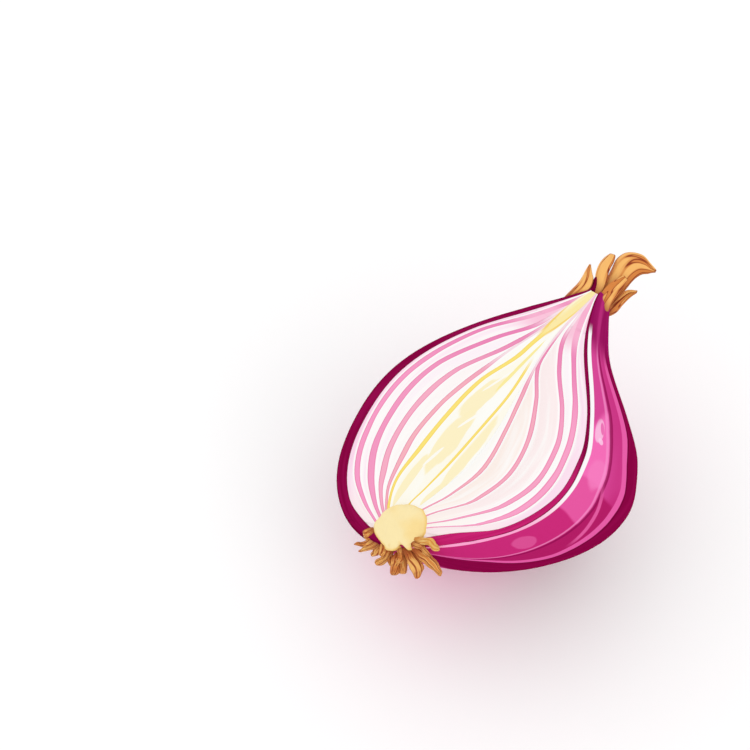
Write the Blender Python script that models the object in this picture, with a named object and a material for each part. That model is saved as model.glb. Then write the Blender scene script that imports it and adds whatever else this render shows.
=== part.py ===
"""A halved shallot lying on its back, cut face up: two skins, nested fleshy scales, sprout leaves,
root plate, rootlets and the dry leaves of the neck.

Every piece is worked out in the bulb's own frame: +Y runs from the root end to the neck, +X to the
right across the cut, +Z straight out of the cut, and the cut face is the plane z = 0. One empty then
leans the whole bulb into the pose in which it lies, on the flat spot that its weight presses at z = 0.
"""

import math

import bmesh
import bpy
from mathutils import Vector

MM = 0.001

# The bulb: a round section that swells from the root end and draws in to the neck
BULB_LENGTH = 41.6 * MM
BULB_RADIUS = 18.3 * MM
NECK_RADIUS = 0.8 * MM
WIDEST_AT = 0.42  # share of the length, from the root end
NECK_CURVE = 0.61  # under 1 keeps the shoulder full before the neck
CENTRE_DEPTH = 0.4  # how far under the cut the middle of a round section lies, in radii
AXIS_BEND = -2.5 * MM  # the bulb's axis bows to the left, and sways back near the neck
AXIS_SWAY = 0.4 * MM
BASE_SLANT = 0.43  # the root end is lower on the left than on the right

# The pose: the cut face leans to the left and the neck is the high end
NECK_LIFT = math.radians(18)
RIGHT_LIFT = math.radians(20)
PRESSED_DEPTH = 0.45 * MM  # how much of the round back is pressed flat

# The skins and the flesh, as depths under the bulb's surface
GAP = 0.3 * MM
OUTER_SKIN = 0.8 * MM
INNER_SKIN = 0.65 * MM
FLESH_DEPTH = OUTER_SKIN + INNER_SKIN + 2 * GAP
SKIN_TEAR = 0.25  # where the outer skin is torn off, as a share of the way round from the left edge
TEAR_WIDTH = 0.13
TEAR_WAVE = 0.02
TEAR_RIPPLES = 19
OUTER_SKIN_END = 0.955
INNER_SKIN_END = 0.945

# Where one fleshy scale ends and the next begins, as shares of the flesh: (left, right)
SCALE_LEVELS = ((1.0, 1.0), (0.9, 0.86), (0.8, 0.74), (0.66, 0.6), (0.51, 0.45), (0.38, 0.27))
SPROUT_SPLIT = 0.03  # how far right of the middle the two sprout leaves meet
# name: (left edge, right edge, end), as shares of the flesh and of the length
SPROUT_LEAVES = {
    "sprout_leaf_left": (SCALE_LEVELS[-1][0], -SPROUT_SPLIT, 0.88),
    "sprout_leaf_right": (-SPROUT_SPLIT, SCALE_LEVELS[-1][1], 0.8),
}
THINNEST = 0.3 * MM

ARC_POINTS = 15
SECTIONS = 14
START_STEP = 0.002  # how finely the start and the end of a piece are looked for, in shares of the length
END_STEP = 0.005
END_CROWDING = 1.5  # over 1 puts the sections closer together at the blunt root end
WELD = 0.0001 * MM
SHARP_ANGLE = math.radians(40)

PLATE_CENTRE = Vector((-1.5, 2.3, 0.0)) * MM
PLATE_SIZE = Vector((3.7, 3.0, 3.3)) * MM
PLATE_AROUND = 16
PLATE_RINGS = 10

ROOTLET_RADIUS = 0.52 * MM
ROOTLET_DROOP = 0.5 * MM
# (heading across the cut from +X, dip under the cut, reach from the plate's middle, thickness)
ROOTLETS = (
    (-119, 13, 6.0, 0.8),
    (-105, 8, 6.4, 0.95),
    (-92, 14, 5.2, 0.9),
    (-76, 8, 5.6, 1.0),
    (-60, 14, 5.2, 0.9),
    (-44, 10, 5.6, 0.9),
    (-28, 14, 6.2, 0.95),
    (-14, 8, 6.2, 0.75),
    (-110, 33, 7.2, 0.85),
    (-95, 34, 7.0, 1.0),
    (-79, 38, 7.2, 1.15),
    (-60, 36, 6.8, 1.1),
    (-43, 35, 7.4, 1.05),
    (-28, 32, 7.6, 0.9),
)
ROOTLET_WIDTHS = (0.5, 0.85, 1.0, 0.8, 0.35)  # shares of its radius, from the plate to the tip
ROOTLET_ROUNDNESS = 2

LEAF_AROUND = 8
LEAF_WIDTHS = (0.62, 0.85, 1.0, 1.05, 1.0, 0.86, 0.62, 0.2)  # shares of its width, from base to tip
LEAF_THICKNESS = 0.5 * MM
# name: (spine's start, bow and tip in millimetres, width in millimetres, how far the blade cups)
NECK_LEAVES = {
    "neck_leaf_left": (((-2.2, 40.1, -1.2), (-3.6, 41.2, -1.0), (-3.1, 43.9, 0.5)), 2.8, 0.4),
    "neck_leaf_middle": (((-0.5, 40.3, -0.6), (-0.6, 43.5, -0.6), (-1.6, 46.6, 0.2)), 2.4, 0.6),
    "neck_leaf_large": (((1.0, 40.5, -2.2), (0.0, 48.8, -2.2), (3.3, 48.2, -2.6)), 3.0, 0.4),
    "neck_leaf_front": (((1.3, 40.4, -0.9), (1.6, 43.2, -0.7), (1.2, 45.4, -0.7)), 1.7, 0.5),
    "neck_leaf_small": (((1.9, 39.9, -3.7), (2.7, 41.8, -3.9), (2.4, 44.6, -3.9)), 1.6, 0.4),
}

# name: (colour, roughness)
FINISHES = {
    "outer_skin": ((0.52, 0.02, 0.16), 0.3),
    "inner_skin": ((0.2, 0.005, 0.05), 0.4),
    "flesh": ((0.95, 0.82, 0.84), 0.35),
    "sprout": ((0.98, 0.88, 0.5), 0.35),
    "root_plate": ((0.95, 0.76, 0.38), 0.6),
    "rootlet": ((0.6, 0.22, 0.05), 0.7),
    "neck_leaf": ((0.8, 0.33, 0.08), 0.65),
}


def clear_scene():
    for thing in list(bpy.data.objects):
        bpy.data.objects.remove(thing)


def new_collection(name):
    collection = bpy.data.collections.new(name)
    bpy.context.scene.collection.children.link(collection)
    return collection


def new_material(name, colour, roughness):
    material = bpy.data.materials.new(name)
    material.use_nodes = True
    shader = material.node_tree.nodes["Principled BSDF"]
    shader.inputs["Base Color"].default_value = (*colour, 1.0)
    shader.inputs["Roughness"].default_value = roughness
    shader.inputs["Metallic"].default_value = 0.0
    return material


def smooth_step(low, high, value):
    share = min(max((value - low) / (high - low), 0.0), 1.0)
    return share * share * (3 - 2 * share)


def radius_at(t):
    """The bulb's radius at share t of its length."""
    if t < WIDEST_AT:
        rise = (WIDEST_AT - t) / WIDEST_AT
        return BULB_RADIUS * math.sqrt(1 - rise * rise)
    fall = (t - WIDEST_AT) / (1 - WIDEST_AT)
    swell = (0.5 + 0.5 * math.cos(math.pi * fall)) ** NECK_CURVE
    return NECK_RADIUS + (BULB_RADIUS - NECK_RADIUS) * swell


def bulb_point(t, turn, depth=0.0, left=1.0, right=1.0, trim=0.0):
    """A point at share t of the length and turn of the way round, from the cut's left edge to its right.

    depth is under the bulb's surface, left and right are shares of what is inside that depth,
    and trim draws the section in evenly.
    """
    lean = math.asin(CENTRE_DEPTH)
    angle = math.pi + lean - turn * (math.pi + 2 * lean)
    inside = radius_at(t) - depth
    size = (left + right) / 2 * inside - trim
    across = (right - left) / 2 * inside * math.cos(lean) + size * math.cos(angle)
    below = size * (CENTRE_DEPTH + math.sin(angle))
    bow = AXIS_BEND * math.sin(math.pi * t) + AXIS_SWAY * math.sin(2 * math.pi * t)
    along = t * BULB_LENGTH + BASE_SLANT * across * (1 - t)
    return Vector((bow + across, along, -below))


def flat_point(t, turn, left, right, trim):
    """A point on the cut, straight across from the section's left edge to its right."""
    low = bulb_point(t, 0.0, FLESH_DEPTH, left, right, trim)
    high = bulb_point(t, 1.0, FLESH_DEPTH, left, right, trim)
    return low.lerp(high, turn)


def clears_plate(point):
    """Whether a point is at least a gap away from the root plate."""
    away = point - PLATE_CENTRE
    room = [size + GAP for size in PLATE_SIZE]
    return sum((away[i] / room[i]) ** 2 for i in range(3)) > 1.0


def root_start(surfaces, turn):
    """The first share of the length at which both surfaces of a piece stand clear of the root plate."""
    t = START_STEP
    while not all(clears_plate(surface(t, turn)) for surface in surfaces):
        t += START_STEP
    return t


def grown_piece(name, outside, inside, turns, end, material, collection):
    """One closed piece between two surfaces, from the root plate up to share end of the length.

    outside and inside each give the point at (share of the length, turn of the way round).
    """
    starts = [root_start((outside, inside), turn) for turn in turns]
    sections = []
    for i in range(SECTIONS):
        share = (i / (SECTIONS - 1)) ** END_CROWDING
        spots = [(start + (end - start) * share, turn) for start, turn in zip(starts, turns)]
        section = [outside(t, turn) for t, turn in spots]
        section += [inside(t, turn) for t, turn in reversed(spots)]
        sections.append(section)
    return loft(name, sections, material, collection)


def turns_between(start, end):
    return [start + (end - start) * i / (ARC_POINTS - 1) for i in range(ARC_POINTS)]


def loft(name, sections, material, collection):
    """One closed solid through sections that all have the same number of points, there and back."""
    shape = bmesh.new()
    rings = [[shape.verts.new(point) for point in section] for section in sections]
    for ring, following in zip(rings, rings[1:]):
        for i, corner in enumerate(ring):
            shape.faces.new((ring[i - 1], corner, following[i], following[i - 1]))
    for ring in (rings[0], rings[-1]):
        for i in range(len(ring) // 2 - 1):
            shape.faces.new((ring[i], ring[i + 1], ring[-2 - i], ring[-1 - i]))
    bmesh.ops.remove_doubles(shape, verts=shape.verts, dist=WELD)
    bmesh.ops.dissolve_degenerate(shape, edges=shape.edges, dist=WELD)
    bmesh.ops.recalc_face_normals(shape, faces=shape.faces)
    return new_piece(name, shape, material, collection)


def new_piece(name, shape, material, collection):
    """An object made of a finished bmesh, with its sharp rims kept."""
    mesh = bpy.data.meshes.new(name)
    shape.to_mesh(mesh)
    shape.free()
    mesh.shade_smooth()
    mesh.set_sharp_from_angle(angle=SHARP_ANGLE)
    mesh.materials.append(material)
    piece = bpy.data.objects.new(name, mesh)
    collection.objects.link(piece)
    return piece


def skin_room(turn):
    """How deep the inner skin's outside lies: under the outer skin, or at the surface past its torn edge."""
    return (OUTER_SKIN + GAP) * smooth_step(SKIN_TEAR - TEAR_WIDTH, SKIN_TEAR - TEAR_WAVE, turn)


def outer_skin(material, collection):
    """The outermost skin, from a torn edge on the left of the back round to the cut's right edge."""

    def on_skin(t, turn, depth):
        ragged = TEAR_WAVE * math.sin(TEAR_RIPPLES * t) * (1 - turn)
        return bulb_point(t, turn + ragged, depth)

    def outside(t, turn):
        return on_skin(t, turn, 0.0)

    def inside(t, turn):
        return on_skin(t, turn, OUTER_SKIN)

    return grown_piece(
        "outer_skin", outside, inside, turns_between(SKIN_TEAR, 1.0), OUTER_SKIN_END, material, collection
    )


def inner_skin(material, collection):
    """The dark skin under it, which shows all round the cut and makes its border on the left."""

    def outside(t, turn):
        return bulb_point(t, turn, skin_room(turn))

    def inside(t, turn):
        return bulb_point(t, turn, FLESH_DEPTH - GAP)

    return grown_piece(
        "inner_skin", outside, inside, turns_between(0.0, 1.0), INNER_SKIN_END, material, collection
    )


def fleshy_scale(number, material, collection):
    """One fleshy scale, which ends towards the neck where it would be too thin to stand."""
    outer = SCALE_LEVELS[number - 1]
    inner = SCALE_LEVELS[number]

    def outside(t, turn):
        return bulb_point(t, turn, FLESH_DEPTH, *outer)

    def inside(t, turn):
        return bulb_point(t, turn, FLESH_DEPTH, *inner, -GAP)

    share = min(outer[0] - inner[0], outer[1] - inner[1])
    end = WIDEST_AT
    while share * (radius_at(end) - FLESH_DEPTH) > THINNEST + GAP:
        end += END_STEP
    return grown_piece(
        f"fleshy_scale_{number}", outside, inside, turns_between(0.0, 1.0), end, material, collection
    )


def sprout_leaf(name, left, right, end, material, collection):
    """One young leaf of the sprout in the middle, from the root plate up towards the neck.

    left and right are its edges on the cut, measured outwards from the middle.
    """

    def outside(t, turn):
        return bulb_point(t, turn, FLESH_DEPTH, left, right, GAP / 2)

    def inside(t, turn):
        return flat_point(t, turn, left, right, GAP / 2)

    return grown_piece(name, outside, inside, turns_between(0.0, 1.0), end, material, collection)


def root_plate(material, collection):
    """The round plate that every scale grows from, cut through like the rest."""
    shape = bmesh.new()
    bmesh.ops.create_uvsphere(shape, u_segments=PLATE_AROUND, v_segments=PLATE_RINGS, radius=1.0)
    bmesh.ops.scale(shape, vec=PLATE_SIZE, verts=shape.verts)
    everything = shape.verts[:] + shape.edges[:] + shape.faces[:]
    bmesh.ops.bisect_plane(
        shape, geom=everything, plane_co=(0, 0, 0), plane_no=(0, 0, 1), clear_outer=True
    )
    bmesh.ops.holes_fill(shape, edges=shape.edges, sides=0)
    bmesh.ops.translate(shape, vec=PLATE_CENTRE, verts=shape.verts)
    bmesh.ops.recalc_face_normals(shape, faces=shape.faces)
    return new_piece("root_plate", shape, material, collection)


def rootlet(number, heading, dip, reach, thickness, material, collection):
    """One dry rootlet that leaves the root plate's rim outwards, droops and tapers."""
    turned = math.radians(heading)
    sunk = math.radians(dip)
    level = math.cos(sunk)
    outward = Vector((math.cos(turned) * level, math.sin(turned) * level, -math.sin(sunk)))
    radius = ROOTLET_RADIUS * thickness
    rim = 1 / math.sqrt(sum((outward[i] / PLATE_SIZE[i]) ** 2 for i in range(3)))
    near = rim + GAP + radius / 2
    curve = bpy.data.curves.new(f"rootlet_{number:02d}", "CURVE")
    curve.dimensions = "3D"
    curve.bevel_depth = radius
    curve.bevel_resolution = ROOTLET_ROUNDNESS
    curve.use_fill_caps = True
    line = curve.splines.new("POLY")
    line.points.add(len(ROOTLET_WIDTHS) - 1)
    for i, width in enumerate(ROOTLET_WIDTHS):
        along = i / (len(ROOTLET_WIDTHS) - 1)
        point = PLATE_CENTRE + outward * (near + (reach * MM - near) * along)
        point.z -= ROOTLET_DROOP * along * along
        line.points[i].co = (*point, 1.0)
        line.points[i].radius = width
    curve.materials.append(material)
    piece = bpy.data.objects.new(curve.name, curve)
    collection.objects.link(piece)
    return piece


def neck_leaf(name, spine, width, cupping, material, collection):
    """One dry leaf of the neck: a blade that follows a bowed spine and narrows to its tip."""
    start, middle, end = (Vector(point) * MM for point in spine)
    sections = []
    for i, share in enumerate(LEAF_WIDTHS):
        t = i / (len(LEAF_WIDTHS) - 1)
        centre = start * (1 - t) ** 2 + middle * 2 * t * (1 - t) + end * t * t
        heading = ((middle - start) * (1 - t) + (end - middle) * t).normalized()
        side = heading.cross(Vector((0, 0, 1))).normalized()
        lift = side.cross(heading)
        half = share * width / 2 * MM
        section = []
        for j in range(LEAF_AROUND):
            angle = 2 * math.pi * j / LEAF_AROUND
            across = half * math.cos(angle)
            hollow = cupping * across * across / half
            high = LEAF_THICKNESS / 2 * math.sin(angle) - hollow
            section.append(centre + side * across + lift * high)
        sections.append(section)
    return loft(name, sections, material, collection)


def lay_down(pieces, collection):
    """Leans every piece into the lying pose and stands the lowest on z = 0, centred on the origin."""
    pose = bpy.data.objects.new("lying_pose", None)
    collection.objects.link(pose)
    pose.rotation_mode = "YXZ"
    pose.rotation_euler = (NECK_LIFT, -RIGHT_LIFT, 0.0)
    for piece in pieces:
        piece.parent = pose
    bpy.context.view_layer.update()
    graph = bpy.context.evaluated_depsgraph_get()
    corners = []
    for piece in pieces:
        shown = piece.evaluated_get(graph)
        mesh = shown.to_mesh()
        corners += [shown.matrix_world @ vertex.co for vertex in mesh.vertices]
        shown.to_mesh_clear()
    low = [min(corner[i] for corner in corners) for i in range(3)]
    high = [max(corner[i] for corner in corners) for i in range(3)]
    pose.location = (-(low[0] + high[0]) / 2, -(low[1] + high[1]) / 2, -low[2] - PRESSED_DEPTH)


def press_flat(piece, collection):
    """Cuts the piece's back flat at z = 0, where the bulb's weight rests."""
    shape = bmesh.new()
    bmesh.ops.create_cube(shape, size=4 * BULB_RADIUS)
    bmesh.ops.translate(shape, vec=(0, 0, -2 * BULB_RADIUS), verts=shape.verts)
    mesh = bpy.data.meshes.new("resting_surface")
    shape.to_mesh(mesh)
    shape.free()
    cutter = bpy.data.objects.new("resting_surface", mesh)
    cutter.hide_render = True
    cutter.display_type = "WIRE"
    collection.objects.link(cutter)
    cut = piece.modifiers.new("pressed_flat", "BOOLEAN")
    cut.operation = "DIFFERENCE"
    cut.object = cutter


def main():
    clear_scene()
    shallot = new_collection("halved_shallot")
    cutters = new_collection("cutters")
    finishes = {name: new_material(name, *look) for name, look in FINISHES.items()}

    skin = outer_skin(finishes["outer_skin"], shallot)
    pieces = [skin, inner_skin(finishes["inner_skin"], shallot)]
    for number in range(1, len(SCALE_LEVELS)):
        pieces.append(fleshy_scale(number, finishes["flesh"], shallot))
    for name, shape in SPROUT_LEAVES.items():
        pieces.append(sprout_leaf(name, *shape, finishes["sprout"], shallot))
    pieces.append(root_plate(finishes["root_plate"], shallot))
    for number, shape in enumerate(ROOTLETS, 1):
        pieces.append(rootlet(number, *shape, finishes["rootlet"], shallot))
    for name, shape in NECK_LEAVES.items():
        pieces.append(neck_leaf(name, *shape, finishes["neck_leaf"], shallot))
    lay_down(pieces, shallot)
    press_flat(skin, cutters)


main()
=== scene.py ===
import math
from collections import Counter

import bpy
import numpy as np
from mathutils import Euler, Matrix, Vector, noise


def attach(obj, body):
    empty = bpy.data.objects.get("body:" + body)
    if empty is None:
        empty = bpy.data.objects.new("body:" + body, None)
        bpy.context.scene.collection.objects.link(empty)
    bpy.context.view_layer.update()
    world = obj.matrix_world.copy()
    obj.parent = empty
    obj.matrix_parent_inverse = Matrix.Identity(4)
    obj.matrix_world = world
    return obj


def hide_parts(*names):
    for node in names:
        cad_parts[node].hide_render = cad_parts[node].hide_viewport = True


# A halved shallot that lies cut face up. The bulb is worked out in its own frame: +Y from the root end
# to the neck, +X right across the cut, +Z out of the cut, and the cut face is the plane z = 0.

MM = 0.001

# The bulb, as it was made
BULB_LENGTH = 41.6 * MM
BULB_RADIUS = 18.3 * MM
NECK_RADIUS = 0.8 * MM
WIDEST_AT = 0.42
NECK_CURVE = 0.61
CENTRE_DEPTH = 0.4
CUT_LEAN = math.asin(CENTRE_DEPTH)
AXIS_BEND = -2.5 * MM
AXIS_SWAY = 0.4 * MM
BASE_SLANT = 0.43
NECK_LIFT = math.radians(18)
RIGHT_LIFT = math.radians(20)
PLATE_CENTRE = Vector((-1.5, 2.3, 0.0)) * MM
PLATE_SIZE = Vector((3.7, 3.0, 3.3)) * MM
# The way towards whoever looks at the cut from above and to the right: the dry leaves face it
TOWARDS_VIEW = Vector((0.626, -0.095, 0.774))

# Where each layer's edge meets the cut, left and right of the bulb's middle, as shares of the half
# width at these stations along the length
STATIONS = (0.0, 0.06, 0.12, 0.20, 0.32, 0.45, 0.58, 0.72, 0.84, 0.93, 1.0)
SKIN_OUTSIDE = (
    (1.0, 1.0, 1.0, 1.0, 1.0, 1.0, 1.0, 1.0, 1.0, 1.0, 1.0),
    (1.0, 1.0, 1.0, 1.0, 1.0, 1.0, 0.97, 0.95, 0.945, 0.95, 0.95),
)
SKIN_INSIDE = (
    (0.995, 0.995, 0.995, 0.995, 0.995, 0.995, 0.995, 0.995, 0.99, 0.99, 0.97),
    (0.80, 0.89, 0.945, 0.955, 0.963, 0.958, 0.925, 0.88, 0.84, 0.80, 0.77),
)
FLESH_EDGE = (
    (0.36, 0.70, 0.847, 0.885, 0.908, 0.91, 0.912, 0.905, 0.82, 0.77, 0.65),
    (0.0, 0.50, 0.842, 0.89, 0.92, 0.92, 0.893, 0.826, 0.756, 0.71, 0.60),
)
RINGS = (
    FLESH_EDGE,
    (
        (0.33, 0.52, 0.69, 0.81, 0.86, 0.872, 0.871, 0.854, 0.70, 0.62, 0.50),
        (-0.02, 0.12, 0.70, 0.82, 0.845, 0.835, 0.80, 0.70, 0.616, 0.60, 0.50),
    ),
    (
        (0.31, 0.42, 0.563, 0.675, 0.742, 0.748, 0.735, 0.595, 0.38, 0.38, 0.36),
        (-0.04, 0.02, 0.43, 0.695, 0.757, 0.743, 0.665, 0.483, 0.35, 0.36, 0.36),
    ),
    (
        (0.29, 0.35, 0.47, 0.557, 0.60, 0.583, 0.539, 0.336, 0.25, 0.27, 0.28),
        (-0.06, -0.04, 0.14, 0.445, 0.533, 0.497, 0.40, 0.21, 0.20, 0.26, 0.27),
    ),
    (
        (0.27, 0.315, 0.41, 0.457, 0.455, 0.405, 0.343, 0.25, 0.20, 0.22, 0.22),
        (-0.08, -0.09, 0.01, 0.196, 0.313, 0.285, 0.25, 0.18, 0.17, 0.20, 0.20),
    ),
    (
        (0.25, 0.285, 0.385, 0.403, 0.34, 0.28, 0.245, 0.12, 0.12, 0.15, 0.15),
        (-0.10, -0.12, -0.06, 0.06, 0.17, 0.20, 0.18, 0.14, 0.13, 0.15, 0.15),
    ),
)
SPROUT_SPLIT = (-0.17, -0.175, -0.17, -0.09, 0.0, 0.065, 0.103, 0.07, 0.03, 0.02, 0.0)
# How far the cut's right edge spreads past the round, as shares of the half width, and how far the
# outer skin stands off the flesh on the right, in millimetres at stations of its own
RIGHT_SPREAD = (0.10, 0.12, 0.13, 0.11, 0.06, 0.012, 0.0, 0.0, 0.0, 0.0, 0.0)
ROOM_STATIONS = (0.0, 0.12, 0.24, 0.34, 0.46, 0.52, 0.58, 0.64, 0.72, 0.84, 0.93, 1.0)
NECK_ROOM = (0.0, 0.0, 0.15, 0.3, 0.35, 0.64, 1.2, 1.68, 1.35, 0.6, 1.15, 1.4)
LAYER_GAP = 0.004 * MM

# The uneven wander of every surface comes from noise that is only the same each time with a seed
WANDER_SEED = 5
# Where the modelled layers start, and where the flesh ends, as shares of the length
FIRST_RING = 0.003
FLESH_END = 0.988
RING_COUNT = 72
ARC_STEPS = 64


def radius_at(t):
    """The bulb's radius at share t of its length."""
    if t < WIDEST_AT:
        rise = (WIDEST_AT - t) / WIDEST_AT
        return BULB_RADIUS * math.sqrt(1 - rise * rise)
    fall = (t - WIDEST_AT) / (1 - WIDEST_AT)
    swell = (0.5 + 0.5 * math.cos(math.pi * fall)) ** NECK_CURVE
    return NECK_RADIUS + (BULB_RADIUS - NECK_RADIUS) * swell


def bow_at(t):
    """How far the bulb's axis lies to the right of its frame at share t of the length."""
    return AXIS_BEND * math.sin(math.pi * t) + AXIS_SWAY * math.sin(2 * math.pi * t)


def between(u, a, b, leaving, arriving):
    """A smooth curve from a to b at share u of the way, with the given slopes at its ends."""
    return (
        (2 * u**3 - 3 * u**2 + 1) * a
        + (u**3 - 2 * u**2 + u) * leaving
        + (3 * u**2 - 2 * u**3) * b
        + (u**3 - u**2) * arriving
    )


def share_at(values, t, stations=STATIONS):
    """A table's value at share t of the length, on a smooth curve that never swings past its stations."""
    last = len(stations) - 2
    i = max(k for k in range(last + 1) if stations[k] <= t or k == 0)

    def slope(k):
        return (values[k + 1] - values[k]) / (stations[k + 1] - stations[k]) if 0 <= k <= last else 0.0

    def bend(k):
        before, after = slope(k - 1), slope(k)
        return 2 * before * after / (before + after) if before * after > 0 else 0.0

    width = stations[i + 1] - stations[i]
    u = min((t - stations[i]) / width, 1.0)
    start = bend(i) if i else slope(0)
    return between(u, values[i], values[i + 1], width * start, width * bend(i + 1))


def arc_at(t, left, right, trim):
    """A layer's arc under the cut: its centre, radius, heading round Z and stretch along that heading."""
    left_share, right_share = share_at(left, t), share_at(right, t)
    size = (left_share + right_share) / 2 * radius_at(t) - trim
    across = (right_share - left_share) / 2 * radius_at(t) * math.cos(CUT_LEAN)
    slope = BASE_SLANT * (1 - t)
    centre = Vector((bow_at(t) + across, t * BULB_LENGTH + slope * across, -CENTRE_DEPTH * size))
    return centre, size, math.atan(slope), math.sqrt(1 + slope * slope)


def ring_shares(first, last):
    """Where the rings lie, closer together at the root end and at the neck."""
    steps = [(1 - math.cos(math.pi * i / (RING_COUNT - 1))) / 2 for i in range(RING_COUNT)]
    return [first + (last - first) * step for step in steps]


def edit_mode():
    bpy.ops.object.mode_set(mode="EDIT")


def object_mode():
    bpy.ops.object.mode_set(mode="OBJECT")


def select_everything():
    bpy.ops.mesh.select_all(action="SELECT")


def take_up(piece):
    """Selects the piece alone, as the one that the next steps work on."""
    bpy.ops.object.select_all(action="DESELECT")
    piece.select_set(True)
    bpy.context.view_layer.objects.active = piece


def face_outwards():
    """Turns all faces of the active piece outwards, and leaves none of them selected."""
    edit_mode()
    select_everything()
    bpy.ops.mesh.normals_make_consistent(inside=False)
    bpy.ops.mesh.select_all(action="DESELECT")
    object_mode()


def smooth_by(degrees):
    """Shades the active piece smooth, with a hard edge wherever it turns by more than this."""
    bpy.ops.object.shade_smooth_by_angle(angle=math.radians(degrees))


def begin(name):
    """A new mesh of one point at the origin, open for modelling."""
    bpy.ops.object.select_all(action="DESELECT")
    bpy.ops.mesh.primitive_plane_add(size=MM, location=(0, 0, 0))
    piece = bpy.context.active_object
    piece.name = name
    edit_mode()
    bpy.ops.mesh.merge(type="CENTER")
    return piece


def sheet(name, left, right, last, start_turn=0.0, trim=0.0):
    """One open sheet: an arc spun under the cut at the root end, then drawn up the bulb ring by ring."""
    piece = begin(name)
    shares = ring_shares(FIRST_RING, last)
    centre, size, heading, stretch = arc_at(shares[0], left, right, trim)
    sweep = math.pi + 2 * CUT_LEAN
    start = math.pi + CUT_LEAN - start_turn * sweep
    offset = Vector((size * math.cos(start), 0, -size * math.sin(start)))
    bpy.ops.transform.translate(value=centre + offset)
    bpy.ops.mesh.spin(steps=ARC_STEPS, angle=(1 - start_turn) * sweep, center=centre, axis=(0, 1, 0))
    select_everything()
    bpy.ops.transform.resize(value=(stretch, 1, 1), center_override=centre)
    bpy.ops.transform.rotate(value=-heading, orient_axis="Z", center_override=centre)
    for t in shares[1:]:
        to, to_size, to_heading, to_stretch = arc_at(t, left, right, trim)
        grow = to_size / size
        widen = grow * to_stretch / stretch
        bpy.ops.mesh.extrude_region_move(TRANSFORM_OT_translate={"value": to - centre})
        bpy.ops.transform.rotate(
            value=-(to_heading - heading), orient_axis="Z", center_override=to
        )
        bpy.ops.transform.resize(value=(widen, widen, grow), center_override=to)
        centre, size, heading, stretch = to, to_size, to_heading, to_stretch
    object_mode()
    return piece


def finish_piece(piece, slot, *nodes):
    """Lays the piece down in the bulb's place, and hands it over for the solids that it stands for."""
    take_up(piece)
    piece.matrix_world = LYING @ piece.matrix_world
    bpy.ops.object.transform_apply(location=True, rotation=True, scale=True)
    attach(piece, "root")
    if nodes:
        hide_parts(*nodes)
    return piece


def lying_place():
    """How the bulb's frame lies in the row frame: leaned as it was made, and placed by its root plate."""
    turn = Euler((NECK_LIFT, -RIGHT_LIFT, 0.0), "YXZ").to_matrix()
    plate = [turn.inverted() @ vertex.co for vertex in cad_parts["root_plate"].data.vertices]
    low = [min(point[i] for point in plate) for i in range(3)]
    high = [max(point[i] for point in plate) for i in range(3)]
    found = Vector(((low[0] + high[0]) / 2, (low[1] + high[1]) / 2, high[2]))
    return Matrix.Translation(turn @ (found - PLATE_CENTRE)) @ turn.to_4x4()


def points_of(piece):
    points = np.empty(len(piece.data.vertices) * 3)
    piece.data.vertices.foreach_get("co", points)
    return points.reshape(-1, 3)


def set_points(piece, points):
    piece.data.vertices.foreach_set("co", points.ravel())
    piece.data.update()


def bulb_place(points):
    """Each point's (turn of the way round, share of the length, share of the half width)."""
    x, y, z = points.T
    t = np.clip(y / BULB_LENGTH, 0.001, 1)
    for _ in range(8):
        across = x - AXIS_BEND * np.sin(np.pi * t) - AXIS_SWAY * np.sin(2 * np.pi * t)
        t = np.clip((y - BASE_SLANT * across * (1 - t)) / BULB_LENGTH, 0.001, 1)
    under = -z
    reach = (-0.8 * under + np.sqrt(0.64 * under**2 + 3.36 * (across**2 + under**2))) / 1.68
    angle = np.arctan2(under - CENTRE_DEPTH * reach, across)
    angle = np.where(angle < -math.pi / 2, angle + 2 * math.pi, angle)
    turn = (math.pi + CUT_LEAN - angle) / (math.pi + 2 * CUT_LEAN)
    half = np.array([radius_at(value) for value in t]) * math.cos(CUT_LEAN)
    return np.stack((turn, t, across / half), axis=1)


def write_attribute(piece, name, rows):
    attribute = piece.data.attributes.new(name, "FLOAT_VECTOR", "POINT")
    attribute.data.foreach_set("vector", rows.astype(np.float32).ravel())


def open_sides(piece):
    """The open edges, as one list for each row end and each row of the sheets they close."""
    row = ARC_STEPS + 1
    count = row * RING_COUNT
    uses = Counter(key for face in piece.data.polygons for key in face.edge_keys)
    sides = {}
    for key, times in uses.items():
        if times == 1:
            a, b = (vertex % count for vertex in key)
            side = ("row", a // row) if a // row == b // row else ("rim", a % row)
            sides.setdefault(side, set()).add(key)
    return [sides[side] for side in sorted(sides)]


def bridge(piece, keys, cuts=0):
    """Bridges the edges with the given keys."""
    take_up(piece)
    edit_mode()
    bpy.ops.mesh.select_mode(type="EDGE")
    bpy.ops.mesh.select_all(action="DESELECT")
    object_mode()
    for edge in piece.data.edges:
        edge.select = edge.key in keys
    edit_mode()
    bpy.ops.mesh.bridge_edge_loops(number_cuts=cuts, interpolation="LINEAR")
    bpy.ops.mesh.select_mode(type="VERT")
    object_mode()


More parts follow.
